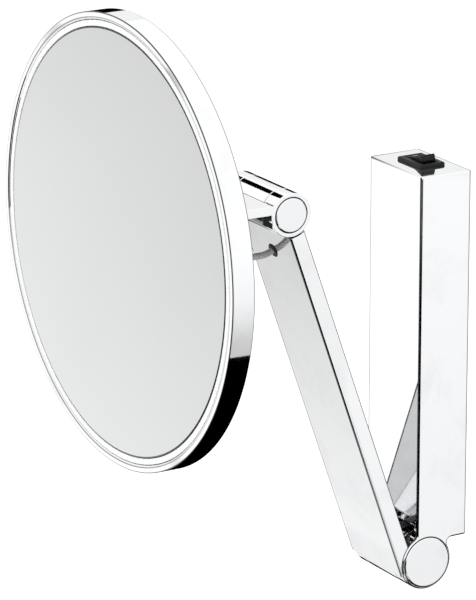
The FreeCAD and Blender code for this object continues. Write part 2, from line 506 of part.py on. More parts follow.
for x, z in HUB_SCR:
    s = fuse(cyly(x, HEAD_Z + z, 1.25, HEAD_FRONT_Y + CAR0 + 0.1, HEAD_BACK_Y + 1.8), Part.makeCone(1.3, 2.7, 1.2, V(x, HEAD_BACK_Y + 1.78, HEAD_Z + z), V(0, 1, 0)))
    s = cut(s, box(x - 1.7, x + 1.7, HEAD_BACK_Y + 2.4, HEAD_BACK_Y + 4, HEAD_Z + z - 0.3, HEAD_Z + z + 0.3), box(x - 0.3, x + 0.3, HEAD_BACK_Y + 2.4, HEAD_BACK_Y + 4, HEAD_Z + z - 1.7, HEAD_Z + z + 1.7))
    scr.append(s)
group("hub_screws", scr)
sp = fuse(cylz(0, SW_Y, SWIVEL_PIN_R, lug_lo0 - 2.2, lug_hi1 + 0.02), cylz(0, SW_Y, 4.6, lug_hi1 + 0.01, lug_hi1 + 1.6))
sp = cut(sp, box(-3.4, 3.4, SW_Y - 0.5, SW_Y + 0.5, lug_hi1 + 0.9, lug_hi1 + 3),
         cut(cylz(0, SW_Y, 5, lug_lo0 - 1.2, lug_lo0 - 0.4), cylz(0, SW_Y, 2.4, lug_lo0 - 2, lug_lo0)))
put("swivel_pin", sp)
group("swivel_washers", [cut(cylz(0, SW_Y, 7.2, a, b), cylz(0, SW_Y, SWIVEL_PIN_R + 0.06, a - 1, b + 1)) for a, b in ((SW_HI + 0.05, SW_HI + 0.85), (SW_LO - 0.85, SW_LO - 0.05))])
clip = cut(cylz(0, SW_Y, 5.0, lug_lo0 - 1.15, lug_lo0 - 0.45), cylz(0, SW_Y, 2.45, lug_lo0 - 2, lug_lo0), box(-1.6, 1.6, SW_Y, SW_Y + 8, lug_lo0 - 2, lug_lo0))
put("swivel_circlip", clip)

# ======================= LEADS ===========================================
# post lead: driver down to the lower hinge
lead_start = (9.5, -15.2, -74.0)
put("post_lead", tube([(9.5, -12.0, -24.1), (9.5, -12.8, -42.0), (9.5, -11.6, -58.0), lead_start], LEAD_R, "post_lead"))
# across the lower hinge, under the front wall's edge into the rear cover
hc = lean_point(9.5, -9.9, 21.4)
he = lean_point(9.5, -5.6, 21.4)
put("hinge_lead", tube([lead_start, (9.5, -16.95, -81.78), (9.5, -25.6, -85.75), he, hc], LEAD_R, "hinge_lead"))
# inside the arm
put("arm_lead", lean(tube([(9.5, -10.3, 23.6), (9.5, -10.9, 52), (9.9, -10.5, 96), (8.6, -10.9, 132), (0.4, -10.5, 152), (0.0, -10.7, 172.0)], LEAD_R, "arm_lead")))
# from the arm's front to the bracket
p0 = lean_point(0, -12.4, GROMMET_S)
p1 = lean_point(0, -20.2, GROMMET_S)
put("head_lead", tube([p0, p1, (0, -112.5, 58.3), (0, -125.5, 61.3), (0, -134.6, 68.8), (0, GL_Y, 78.6), (0, GL_Y, zp0 + 2.6)], LEAD_R, "head_lead"))

for name, s in nodes.items():
    ok = s.isValid()
    n = len(s.Solids)
    s.exportStep("parts/%s.step" % name)
    print("%-24s solids %2d volume %10.2f valid %s" % (name, n, s.Volume, ok))
print("upper axis", round(UP_Y, 3), round(UP_Z, 3), "swivel axis y", round(SW_Y, 3), "barrel", round(SW_LO, 2), round(SW_HI, 2))
print("arm solids", len(arm_solids), [round(q.Volume, 1) for q in arm_solids])
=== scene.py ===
import bpy
import bmesh
import json
import math
from mathutils import Matrix, Vector
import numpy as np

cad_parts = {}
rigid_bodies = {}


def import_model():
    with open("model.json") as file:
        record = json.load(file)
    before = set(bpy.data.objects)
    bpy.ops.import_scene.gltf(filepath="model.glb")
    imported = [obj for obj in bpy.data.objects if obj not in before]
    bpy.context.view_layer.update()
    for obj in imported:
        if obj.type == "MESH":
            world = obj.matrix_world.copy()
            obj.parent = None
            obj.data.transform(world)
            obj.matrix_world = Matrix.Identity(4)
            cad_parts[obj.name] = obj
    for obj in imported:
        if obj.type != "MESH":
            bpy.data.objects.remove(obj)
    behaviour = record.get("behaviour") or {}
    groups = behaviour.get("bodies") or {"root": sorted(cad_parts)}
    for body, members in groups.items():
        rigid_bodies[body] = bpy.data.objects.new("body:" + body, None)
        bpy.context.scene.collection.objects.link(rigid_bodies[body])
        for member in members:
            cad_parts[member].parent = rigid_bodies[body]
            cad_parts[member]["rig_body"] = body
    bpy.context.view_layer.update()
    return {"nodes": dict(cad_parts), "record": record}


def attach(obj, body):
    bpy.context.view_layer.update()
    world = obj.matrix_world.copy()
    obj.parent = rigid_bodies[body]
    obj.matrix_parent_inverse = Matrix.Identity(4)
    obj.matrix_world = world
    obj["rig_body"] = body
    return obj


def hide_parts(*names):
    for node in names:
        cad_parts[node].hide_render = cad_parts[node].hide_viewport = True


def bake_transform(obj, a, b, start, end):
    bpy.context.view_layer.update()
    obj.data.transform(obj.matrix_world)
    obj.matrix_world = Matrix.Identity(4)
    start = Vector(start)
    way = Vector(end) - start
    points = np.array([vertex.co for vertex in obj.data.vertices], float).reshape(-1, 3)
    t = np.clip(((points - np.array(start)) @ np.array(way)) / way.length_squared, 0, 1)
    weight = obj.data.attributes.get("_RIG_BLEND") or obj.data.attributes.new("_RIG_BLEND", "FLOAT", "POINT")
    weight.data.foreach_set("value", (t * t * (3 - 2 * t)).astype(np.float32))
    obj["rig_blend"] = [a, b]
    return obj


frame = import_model()
NODES = frame["nodes"]
scene = bpy.context.scene
scene.view_settings.view_transform = "Standard"
scene.view_settings.look = "None"

# ---- sizes shared with the CAD model, in metres ---------------------------
HEAD_Y, HEAD_Z, HEAD_T = -0.1785, 0.0756, 0.0112
SW_Y = -0.1523
TILT = math.radians(19.5)
LOW = Vector((0, -0.0219, -0.1007))
ARM = Matrix.Translation(LOW) @ Matrix.Rotation(TILT, 4, "X")


def lean(x, y, z):
    return ARM @ Vector((x, y, z))


# ===========================================================================
# camera
# ===========================================================================
cam_data = bpy.data.cameras.new("photo_camera")
cam = bpy.data.objects.new("photo_camera", cam_data)
scene.collection.objects.link(cam)
scene.camera = cam
az, el = math.radians(59.41), math.radians(16.92)
look = Vector((-math.sin(az) * math.cos(el), math.cos(az) * math.cos(el), -math.sin(el)))
cam.location = (1.7075, -1.1227, 0.6420)
cam.rotation_mode = "QUATERNION"
cam.rotation_quaternion = look.to_track_quat("-Z", "Y")
cam_data.lens = 268.27
cam_data.sensor_width = 36
cam_data.clip_start, cam_data.clip_end = 0.02, 60


# ===========================================================================
# materials
# ===========================================================================
def start(name):
    m = bpy.data.materials.new(name)
    m.use_nodes = True
    nt = m.node_tree
    return m, nt.nodes, nt.links, nt.nodes["Principled BSDF"]


def coords(n, l, scale):
    """Object coordinates scaled per axis."""
    tc = n.new("ShaderNodeTexCoord")
    mp = n.new("ShaderNodeMapping")
    mp.inputs["Scale"].default_value = scale
    l.new(tc.outputs["Object"], mp.inputs["Vector"])
    return mp.outputs["Vector"]


def noise(n, l, vec, scale, detail=4.0, rough=0.55, distort=0.0):
    t = n.new("ShaderNodeTexNoise")
    t.inputs["Scale"].default_value = scale
    t.inputs["Detail"].default_value = detail
    t.inputs["Roughness"].default_value = rough
    t.inputs["Distortion"].default_value = distort
    l.new(vec, t.inputs["Vector"])
    return t.outputs["Fac"]


def spread(n, l, fac, lo, hi, a=0.3, b=0.7):
    """fac from a..b onto lo..hi"""
    r = n.new("ShaderNodeMapRange")
    r.inputs["From Min"].default_value, r.inputs["From Max"].default_value = a, b
    r.inputs["To Min"].default_value, r.inputs["To Max"].default_value = lo, hi
    l.new(fac, r.inputs["Value"])
    return r.outputs["Result"]


def ramp(n, l, fac, stops):
    r = n.new("ShaderNodeValToRGB")
    e = r.color_ramp.elements
    e[0].position, e[0].color = stops[0][0], (*stops[0][1], 1)
    e[1].position, e[1].color = stops[-1][0], (*stops[-1][1], 1)
    for p, c in stops[1:-1]:
        q = e.new(p)
        q.color = (*c, 1)
    l.new(fac, r.inputs["Fac"])
    return r.outputs["Color"]


def bump(n, l, height, strength, distance, into, under=None):
    b = n.new("ShaderNodeBump")
    b.inputs["Strength"].default_value = strength
    b.inputs["Distance"].default_value = distance
    l.new(height, b.inputs["Height"])
    if under is not None:
        l.new(under, b.inputs["Normal"])
    if into is not None:
        l.new(b.outputs["Normal"], into.inputs["Normal"])
    return b.outputs["Normal"]


def math_node(n, l, op, a, b):
    m = n.new("ShaderNodeMath")
    m.operation = op
    for i, v in enumerate((a, b)):
        if isinstance(v, (int, float)):
            m.inputs[i].default_value = v
        else:
            l.new(v, m.inputs[i])
    return m.outputs[0]


def chrome(name, tone=(0.93, 0.935, 0.945), lo=0.025, hi=0.07, wave=0.05, hair=(60, 900, 900)):
    """Bright plating: faint smears in the gloss, hairlines, a very slight waviness of the polish, and painted shade
    taken from a vertex attribute.
    """
    m, n, l, s = start(name)
    even = coords(n, l, (1, 1, 1))
    smear = noise(n, l, even, 38, 5, 0.6, 0.4)
    hairs = noise(n, l, coords(n, l, hair), 1.0, 3, 0.5)
    pits = noise(n, l, even, 900, 2, 0.5)
    dull = tuple(c * 0.94 for c in tone)
    plate = ramp(n, l, smear, [(0.32, dull), (0.5, tone), (0.75, tone)])
    # painted shade: the base colour is mixed towards near black by the per-vertex shade attribute, dark edge lines that
    # stand in for the dark reflections of rounded edges
    painted_shade_fac = n.new("ShaderNodeAttribute")
    painted_shade_fac.attribute_name = "painted_edge_shade"
    dark = n.new("ShaderNodeMix")
    dark.data_type = "RGBA"
    l.new(painted_shade_fac.outputs["Fac"], dark.inputs[0])
    l.new(plate, dark.inputs[6])
    dark.inputs[7].default_value = (0.05, 0.052, 0.056, 1)
    l.new(dark.outputs[2], s.inputs["Base Color"])
    r1 = spread(n, l, smear, lo, hi, 0.35, 0.75)
    r2 = spread(n, l, hairs, 0.0, 0.035, 0.6, 0.78)
    l.new(math_node(n, l, "ADD", r1, r2), s.inputs["Roughness"])
    w = bump(n, l, noise(n, l, even, 22, 1, 0.4), wave, 0.0006, None)
    w = bump(n, l, hairs, 0.02, 0.00004, None, w)
    bump(n, l, pits, 0.02, 0.00002, s, w)
    s.inputs["Metallic"].default_value = 1.0
    return m


def steel(name, tone=(0.62, 0.62, 0.61), lo=0.22, hi=0.42, grain=(400, 400, 400)):
    """Zinc-plated or turned steel: fine grain, cloudy patches and darker spots."""
    m, n, l, s = start(name)
    even = coords(n, l, (1, 1, 1))
    cloud = noise(n, l, even, 120, 5, 0.6)
    fine = noise(n, l, coords(n, l, grain), 3.0, 3, 0.6)
    l.new(ramp(n, l, cloud, [(0.3, tuple(c * 0.78 for c in tone)), (0.55, tone), (0.8, tuple(min(1, c * 1.1) for c in tone))]), s.inputs["Base Color"])
    l.new(spread(n, l, cloud, lo, hi), s.inputs["Roughness"])
    bump(n, l, fine, 0.25, 0.00003, s)
    s.inputs["Metallic"].default_value = 1.0
    return m


def plastic(name, tone, lo=0.3, hi=0.45, grain=0.12, scale=2600, vary=0.1, spec=0.5, coat=0.0):
    """Moulded plastic or rubber: spark-eroded grain, slight mottling, polished high spots."""
    m, n, l, s = start(name)
    even = coords(n, l, (1, 1, 1))
    mott = noise(n, l, even, 90, 5, 0.6)
    fine = noise(n, l, even, scale, 3, 0.6)
    dark = tuple(c * (1 - vary) for c in tone)
    lite = tuple(min(1.0, c * (1 + vary)) for c in tone)
    l.new(ramp(n, l, mott, [(0.25, dark), (0.5, tone), (0.8, lite)]), s.inputs["Base Color"])
    l.new(spread(n, l, mott, lo, hi), s.inputs["Roughness"])
    bump(n, l, fine, grain, 0.00005, s)
    s.inputs["Specular IOR Level"].default_value = spec
    s.inputs["Coat Weight"].default_value = coat
    s.inputs["Coat Roughness"].default_value = 0.08
    return m


def circuit(name):
    """White solder resist with a fine pattern of tracks."""
    m, n, l, s = start(name)
    v = coords(n, l, (1, 1, 1))
    w = n.new("ShaderNodeTexVoronoi")
    w.distance = "MANHATTAN"
    w.inputs["Scale"].default_value = 420
    l.new(v, w.inputs["Vector"])
    l.new(ramp(n, l, w.outputs["Distance"], [(0.08, (0.70, 0.72, 0.70)), (0.16, (0.86, 0.87, 0.85)), (0.6, (0.9, 0.9, 0.88))]), s.inputs["Base Color"])
    l.new(spread(n, l, noise(n, l, v, 300), 0.35, 0.55), s.inputs["Roughness"])
    bump(n, l, w.outputs["Distance"], 0.2, 0.00004, s)
    return m


def foam(name):
    m, n, l, s = start(name)
    v = coords(n, l, (1, 1, 1))
    w = n.new("ShaderNodeTexVoronoi")
    w.inputs["Scale"].default_value = 1400
    l.new(v, w.inputs["Vector"])
    l.new(ramp(n, l, w.outputs["Distance"], [(0.1, (0.05, 0.05, 0.055)), (0.7, (0.13, 0.13, 0.14))]), s.inputs["Base Color"])
    l.new(spread(n, l, w.outputs["Distance"], 0.7, 0.95, 0.0, 0.8), s.inputs["Roughness"])
    bump(n, l, w.outputs["Distance"], 0.5, 0.0002, s)
    return m


def silver_glass(name):
    """Second-surface mirror: bright, slightly cool, with a trace of haze and dust."""
    m, n, l, s = start(name)
    even = coords(n, l, (1, 1, 1))
    haze = noise(n, l, even, 9, 4, 0.55, 0.3)
    dust = noise(n, l, even, 1500, 2, 0.5)
    l.new(ramp(n, l, haze, [(0.3, (0.905, 0.912, 0.916)), (0.7, (0.925, 0.93, 0.932))]), s.inputs["Base Color"])
    r = math_node(n, l, "ADD", spread(n, l, haze, 0.012, 0.035), spread(n, l, dust, 0.0, 0.05, 0.68, 0.8))
    l.new(r, s.inputs["Roughness"])
    bump(n, l, dust, 0.008, 0.00002, s)
    s.inputs["Metallic"].default_value = 1.0
    s.inputs["Coat Weight"].default_value = 0.25
    s.inputs["Coat Roughness"].default_value = 0.02
    return m


def opal(name):
    """Opal acrylic: milky, satin, faintly uneven."""
    m, n, l, s = start(name)
    even = coords(n, l, (1, 1, 1))
    milk = noise(n, l, even, 60, 4, 0.6)
    fine = noise(n, l, even, 2200, 2, 0.5)
    l.new(ramp(n, l, milk, [(0.3, (0.90, 0.905, 0.90)), (0.7, (0.95, 0.955, 0.955))]), s.inputs["Base Color"])
    l.new(spread(n, l, milk, 0.28, 0.42), s.inputs["Roughness"])
    bump(n, l, fine, 0.06, 0.00003, s)
    s.inputs["Subsurface Weight"].default_value = 0.35
    s.inputs["Subsurface Radius"].default_value = (0.003, 0.003, 0.0028)
    s.inputs["Subsurface Scale"].default_value = 1.0
    return m


def jacket(name, tone, ribs=True):
    """Lead jacket: satin PVC, faintly mottled, with a fine grain."""
    m, n, l, s = start(name)
    even = coords(n, l, (1, 1, 1))
    mott = noise(n, l, even, 240, 4, 0.6)
    fine = noise(n, l, even, 3200, 3, 0.6)
    l.new(ramp(n, l, mott, [(0.3, tuple(c * 0.88 for c in tone)), (0.6, tone), (0.85, tuple(min(1, c * 1.08) for c in tone))]), s.inputs["Base Color"])
    l.new(spread(n, l, mott, 0.34, 0.5), s.inputs["Roughness"])
    bump(n, l, fine, 0.12, 0.00004, s)
    return m


MAT = {
    "chrome_casing": chrome("chrome_casing_finish", hair=(700, 700, 45)),
    "chrome_caps": chrome("chrome_caps_finish", tone=(0.90, 0.905, 0.915), lo=0.02, hi=0.06, hair=(300, 300, 300)),
    "chrome_covers": chrome("chrome_covers_finish", tone=(0.86, 0.865, 0.875), lo=0.06, hi=0.13, hair=(45, 700, 700)),
    "plated_steel": steel("plated_steel_finish", (0.66, 0.66, 0.64)),
    "steel_fixings": steel("steel_fixings_finish", (0.60, 0.60, 0.60), 0.16, 0.34),
    "brass_contacts": steel("brass_contacts_finish", (0.78, 0.60, 0.28), 0.2, 0.35),
    "bearing_plastic": plastic("bearing_plastic_finish", (0.62, 0.61, 0.57), 0.35, 0.5),
    "black_rubber": plastic("black_rubber_finish", (0.022, 0.022, 0.024), 0.45, 0.62, 0.2, 1800, 0.2, 0.35),
    "switch_plastic": plastic("switch_plastic_finish", (0.012, 0.0122, 0.013), 0.34, 0.46, 0.2, 3000, 0.15, 0.16),
    "switch_rocker_plastic": plastic("switch_rocker_finish", (0.010, 0.0102, 0.011), 0.26, 0.36, 0.12, 3000, 0.15, 0.18),
    "grey_lead": jacket("grey_lead_finish", (0.42, 0.42, 0.43)),
    "mirror_silver": silver_glass("mirror_silver_finish"),
    "opal_ring": opal("opal_ring_finish"),
    "white_plastic": plastic("white_plastic_finish", (0.80, 0.80, 0.78), 0.35, 0.5, 0.1),
    "foam_pad": foam("foam_pad_finish"),
    "carrier_aluminium": steel("carrier_aluminium_finish", (0.74, 0.74, 0.75), 0.3, 0.45, (30, 600, 600)),
    "led_circuit": circuit("led_circuit_finish"),
    "led_chip": plastic("led_chip_finish", (0.86, 0.78, 0.38), 0.2, 0.3, 0.05, 4000, 0.06, 0.5, 0.4),
}
MAT["mark_print"] = plastic("mark_print_finish", (0.55, 0.55, 0.54), 0.4, 0.55, 0.1, 3000, 0.06)
MAT["glass_edge"] = plastic("glass_edge_finish", (0.035, 0.037, 0.04), 0.18, 0.3, 0.05, 2000, 0.15)
MAT["black_lead"] = jacket("black_lead_finish", (0.026, 0.026, 0.028))

SLOT_OF = {}
for rec in frame["record"].get("materials", []):
    for nm in rec.get("nodes", []) or []:
        SLOT_OF[nm] = rec.get("slot")
for nm, ob in NODES.items():
    key = SLOT_OF.get(nm) or (ob.material_slots[0].material.name.split(".")[0] if ob.material_slots and ob.material_slots[0].material else None)
    SLOT_OF[nm] = key
    if key in MAT:
        if not ob.material_slots:
            ob.data.materials.append(MAT[key])
        for sl in ob.material_slots:
            sl.material = MAT[key]


# ===========================================================================
# mesh helpers
# ===========================================================================
def body_of(node):
    return NODES[node]["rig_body"]


def link(name, me, mat, body, nodes=()):
    o = bpy.data.objects.new(name, me)
    scene.collection.objects.link(o)
    o.data.materials.clear()
    o.data.materials.append(mat)
    if body:
        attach(o, body)
    if nodes:
        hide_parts(*nodes)
    return o


def smooth(me, angle=32):
    me.polygons.foreach_set("use_smooth", [True] * len(me.polygons))
    me.set_sharp_from_angle(angle=math.radians(angle))
    me.update()


def even_normals(o):
    w = o.modifiers.new("even_normals", "WEIGHTED_NORMAL")
    w.keep_sharp = True
    w.weight = 80
    return w


TOP = 0.0906
mm = 0.001


def shade_edges(me, fn):
    """Stores painted shade at each vertex (0 bright, 1 dark): dark lines along the plated edges that stand in for their
    dark reflections.
    """
    a = me.attributes.get("painted_edge_shade") or me.attributes.new("painted_edge_shade", "FLOAT", "POINT")
    a.data.foreach_set("value", [max(0.0, min(1.0, fn(v.co))) for v in me.vertices])


def dress(node, bevel=0.00025, segs=2, angle=28, name=None, mat=None, cuts=(), painted_shade=None):
    """The CAD piece with its edges broken, welded and shaded smoothly; the optional shade function gives the painted
    shade at a point, dark lines along edges that stand in for their reflections.
    """
    bm = bmesh.new()
    bm.from_mesh(NODES[node].data)
    for lay in list(bm.loops.layers.float_vector.values()):
        if "normal" in lay.name:
            bm.loops.layers.float_vector.remove(lay)
    bmesh.ops.remove_doubles(bm, verts=bm.verts, dist=2e-6)
    bmesh.ops.dissolve_limit(bm, angle_limit=math.radians(0.4), verts=bm.verts, edges=bm.edges)
    bmesh.ops.dissolve_degenerate(bm, dist=2e-6, edges=bm.edges)
    me = bpy.data.meshes.new((name or node + "_skin"))
    bm.to_mesh(me)
    bm.free()
    for a in [a for a in me.attributes if "normal" in a.name]:
        me.attributes.remove(a)
    o = link(name or node + "_skin", me, mat or MAT[SLOT_OF[node]], body_of(node), (node,))
    if bevel:
        b = o.modifiers.new("broken_edges", "BEVEL")
        b.width = bevel
        b.segments = segs
        b.limit_method = "ANGLE"
        b.angle_limit = math.radians(angle)
        b.use_clamp_overlap = False
        b.miter_outer = "MITER_ARC"
        dg = bpy.context.evaluated_depsgraph_get()
        new = bpy.data.meshes.new_from_object(o.evaluated_get(dg), depsgraph=dg)
        o.modifiers.clear()
        old, o.data = o.data, new
        bpy.data.meshes.remove(old)
    if painted_shade:
        bm = bmesh.new()
        bm.from_mesh(o.data)
        for at, nor in cuts:
            bmesh.ops.bisect_plane(bm, geom=bm.verts[:] + bm.edges[:] + bm.faces[:], dist=1e-7, plane_co=at, plane_no=nor)
        bm.to_mesh(o.data)
        bm.free()
        shade_edges(o.data, painted_shade)
    smooth(o.data)
    even_normals(o)
    return o


def fillet(pts, radii, n=5):
    """Closed (r, d) outline with each corner rounded."""
    out = []
    k = len(pts)
    for i, (p, r) in enumerate(zip(pts, radii)):
        p = Vector(p)
        a, b = Vector(pts[i - 1]), Vector(pts[(i + 1) % k])
        if r <= 0:
            out.append(tuple(p))
            continue
        u, w = (a - p).normalized(), (b - p).normalized()
        half = u.angle(w) / 2
        t = min(r / math.tan(half), 0.49 * (a - p).length, 0.49 * (b - p).length)
        rr = t * math.tan(half)
        c = p + (u + w).normalized() * (rr / math.sin(half))
        s, e = p + u * t - c, p + w * t - c
        ang = s.angle(e)
        side = 1 if s.x * e.y - s.y * e.x > 0 else -1
        for j in range(n + 1):
            q = s.copy()
            q.rotate(Matrix.Rotation(side * ang * j / n, 2))
            out.append(tuple(c + q))
    return out


def lathe(name, outline, origin, axis, steps, mat, body, nodes=(), closed=True, angle=30):
    """Turns a (radius, distance along the axis) outline about an axis ('X', 'Y' or 'Z') through origin."""
    bm = bmesh.new()
    rings = []
    ox, oy, oz = origin
    for i in range(steps):
        a = 2 * math.pi * i / steps
        row = []
        for r, d in outline:
            if r < 1e-9:
                row.append(None)
                continue
            c, s = r * math.cos(a), r * math.sin(a)
            row.append(bm.verts.new({"Y": (ox + c, oy + d, oz + s), "X": (ox + d, oy + c, oz + s), "Z": (ox + c, oy + s, oz + d)}[axis]))
        rings.append(row)
    poles = {}
    for j, (r, d) in enumerate(outline):
        if r < 1e-9:
            poles[j] = bm.verts.new({"Y": (ox, oy + d, oz), "X": (ox + d, oy, oz), "Z": (ox, oy, oz + d)}[axis])
    n = len(outline)
    for i in range(steps):
        p, q = rings[i], rings[(i + 1) % steps]
        for j in range(n if closed else n - 1):
            k = (j + 1) % n
            vs = [p[j] or poles[j], q[j] or poles[j], q[k] or poles[k], p[k] or poles[k]]
            seen = []
            for v in vs:
                if v not in seen:
                    seen.append(v)
            if len(seen) >= 3:
                bm.faces.new(seen)
    bmesh.ops.recalc_face_normals(bm, faces=bm.faces)
    me = bpy.data.meshes.new(name)
    bm.to_mesh(me)
    bm.free()
    smooth(me, angle)
    o = link(name, me, mat, body, nodes)
    even_normals(o)
    return o


def extrude_x(name, outline, x0, x1, mat, body, slot=None, nodes=(), bevel=0.0, segs=3, place=None):
    """Closed (y, z) outline drawn out along X, with rounded edges."""
    bm = bmesh.new()
    a = [bm.verts.new((x0, y, z)) for y, z in outline]
    b = [bm.verts.new((x1, y, z)) for y, z in outline]
    bm.faces.new(a)
    bm.faces.new(list(reversed(b)))
    for i in range(len(a)):
        k = (i + 1) % len(a)
        bm.faces.new([a[i], b[i], b[k], a[k]])
    bmesh.ops.recalc_face_normals(bm, faces=bm.faces)
    if bevel:
        es = [e for e in bm.edges if e.calc_face_angle(0) > math.radians(25)]
        bmesh.ops.bevel(bm, geom=es, offset=bevel, segments=segs, profile=0.5, affect="EDGES")
    if place is not None:
        bmesh.ops.transform(bm, matrix=place, verts=bm.verts)
    me = bpy.data.meshes.new(name)
    bm.to_mesh(me)
    bm.free()
    smooth(me)
    o = link(name, me, mat, body, nodes)
    even_normals(o)
    return o


def nurbs(points, res=10):
    """Points along a smooth curve through the route."""
    cu = bpy.data.curves.new("route", "CURVE")
    cu.dimensions = "3D"
    sp = cu.splines.new("NURBS")
    sp.points.add(len(points) - 1)
    for p, q in zip(sp.points, points):
        p.co = (*q, 1)
    sp.order_u = 3
    sp.use_endpoint_u = True
    sp.resolution_u = res
    ob = bpy.data.objects.new("route", cu)
    scene.collection.objects.link(ob)
    dg = bpy.context.evaluated_depsgraph_get()
    me = bpy.data.meshes.new_from_object(ob.evaluated_get(dg), depsgraph=dg)
    out = [v.co.copy() for v in me.vertices]
    bpy.data.objects.remove(ob)
    bpy.data.curves.remove(cu)
    bpy.data.meshes.remove(me)
    return out


def tube(name, pts, radius, mat, steps=28):
    """A capped tube along the points, with no twist."""
    bm = bmesh.new()
    tang = [(pts[min(i + 1, len(pts) - 1)] - pts[max(i - 1, 0)]).normalized() for i in range(len(pts))]
    up = Vector((1, 0, 0))
    rows = []
    for p, t in zip(pts, tang):
        up = (up - t * up.dot(t)).normalized()
        side = t.cross(up)
        rows.append([bm.verts.new(p + (up * math.cos(a) + side * math.sin(a)) * radius) for a in [2 * math.pi * k / steps for k in range(steps)]])
    for a, b in zip(rows, rows[1:]):
        for k in range(steps):
            bm.faces.new([a[k], a[(k + 1) % steps], b[(k + 1) % steps], b[k]])
    bm.faces.new(list(reversed(rows[0])))
    bm.faces.new(rows[-1])
    bmesh.ops.recalc_face_normals(bm, faces=bm.faces)
    me = bpy.data.meshes.new(name)
    bm.to_mesh(me)
    bm.free()
    smooth(me, 40)
    o = bpy.data.objects.new(name, me)
    scene.collection.objects.link(o)
    me.materials.append(mat)
    return o


# ===========================================================================
# wall post, arm, bracket: plated pieces with their edges broken, and painted shade along the outlines of post and arm
# and under the plate
# ===========================================================================
def edge_painted_shade(x, d, front, back, half, w):
    """Painted shade along the long edges, dark lines that stand in for their reflections; x across, d depth (front <
    back), all in mm.
    """
    left = (-x - (half - 1.3 - 0.2 * w)) / (0.35 * w) if d < front + 2.0 else 0.0
    left = max(left, (d - (back - 1.0)) / 0.35 if x < -half + 2 else 0.0)
    right = 0.5 * (d - (back - 0.9)) / 0.35 if x > half - 2 else 0.0
    nose = min((x - (half - 1.75)) / 0.3, 1.0 - (x - (half - 0.95 + 0.25 * w)) / 0.3) if d < front + 1.3 else 0.0
    return max(left, right, nose, 0.0)


def side_cuts(half, w):
    return [-half + 1.3 + 0.2 * w, -half + 1.3 - 0.15 * w, half - 1.75, half - 1.45, half - 0.95 + 0.25 * w, half - 0.65 + 0.25 * w]


box = [v.co for v in NODES["post_housing"].data.vertices if v.co.z > 0.02]
px, pf, pb = [k / mm for k in (max(abs(c.x) for c in box), min(c.y for c in box), max(c.y for c in box))]
UPX, UPY, UPZ = Vector((1, 0, 0)), Vector((0, 1, 0)), Vector((0, 0, 1))


# painted shade along the post's outline edges and the edges of its top
def post_painted_shade(co):
    x, y, z = co / mm
    top = TOP / mm
    v = edge_painted_shade(x, y, pf, pb, px, 1.2) if z < top - 0.3 or x < -px + 2 or y > pb - 1.2 else 0.0
    if z > top - 1.0:
        back = (y - (pb - 0.9)) / 0.35
        lft = (-x - (px - 0.9)) / 0.35
        frt = 0.9 * ((pf + 0.7) - y) / 0.3 if z > top - 0.4 and x < px - 2 else 0.0
        v = max(v, 0.8 * back, lft, frt)
    return v


dress("post_housing", 0.0003, painted_shade=post_painted_shade, cuts=[(UPX * k * mm, UPX) for k in side_cuts(px, 1.2) + [-px + 0.9, -px + 0.55]]
      + [(UPY * k * mm, UPY) for k in (pf + 1.3, pf + 2.0, pb - 1.0, pb - 0.65, pb - 0.9, pb - 0.55, pf + 0.7, pf + 0.4)] + [(UPZ * (TOP - k * mm), UPZ) for k in (0.3, 1.0)])
dress("wall_plate", 0.0003)
across = (lean(0, 1, 0) - lean(0, 0, 0)).normalized()
inv = ARM.inverted()
box = [inv @ v.co for v in NODES["arm_housing"].data.vertices]
ax, af, ab = [k / mm for k in (max(abs(c.x) for c in box), min(c.y for c in box), max(c.y for c in box))]


# painted shade along the arm's outline edges
def arm_painted_shade(co):
    q = inv @ co
    return edge_painted_shade(q.x / mm, q.y / mm, af, ab, ax, 1.8)


dress("arm_housing", 0.0004, 3, painted_shade=arm_painted_shade, cuts=[(UPX * k * mm, UPX) for k in side_cuts(ax, 1.8)]
      + [(lean(0, k * mm, 0), across) for k in (af + 1.3, af + 2.0, ab - 1.0, ab - 0.65, ab - 0.9, ab - 0.55)])
dress("arm_rear_cover", 0.0002)
dress("arm_lower_knuckle", 0.0003)
# painted shade on the lower front of the upper knuckle, under the plate, standing in for the shade in the hollow there
dress("arm_upper_knuckle", 0.0003, painted_shade=lambda co: 0.9 if co.y < -0.0955 and co.z < 0.0815 else 0.0,
      cuts=[(UPZ * 0.0818, UPZ), (UPZ * 0.0814, UPZ), (UPY * -0.0953, UPY), (UPY * -0.0957, UPY)])
dress("bracket", 0.0003, 3)
dress("swivel_hub", 0.0003)
dress("switch_body", 0.00025)

# round end caps of both hinges: flat disc with a rolled edge, and a dark rubber ring in the gap round it, painted shade
# standing in for the shadowed groove
for node, (y, z), r in (("lower_end_cap_right", (LOW.y, LOW.z), 0.0126), ("lower_end_cap_left", (LOW.y, LOW.z), 0.0126),
                        ("upper_end_cap_right", (-0.098341, 0.082809), 0.0085), ("upper_end_cap_left", (-0.098341, 0.082809), 0.0085)):
    sgn = 1 if "right" in node else -1
    ri = r - 0.00032
    prof = fillet([(0.0, 0.02325), (ri, 0.02325), (ri, 0.02025), (0.0, 0.02025)], [0, 0.0006, 0.0002, 0], 7)
    lathe(node + "_disc", [(max(a, 0.0), sgn * b) for a, b in prof], (0, y, z), "X", 160, MAT["chrome_caps"], body_of(node), (node,), closed=False)
    prof = fillet([(ri + 0.00003, 0.0212), (r + 0.00008, 0.0212), (r + 0.00008, 0.02284), (ri + 0.00003, 0.02284)], [0, 0, 0.0001, 0.0001], 3)
    lathe(node + "_gap_shade", [(a, sgn * b) for a, b in prof], (0, y, z), "X", 128, MAT["black_rubber"], body_of(node))

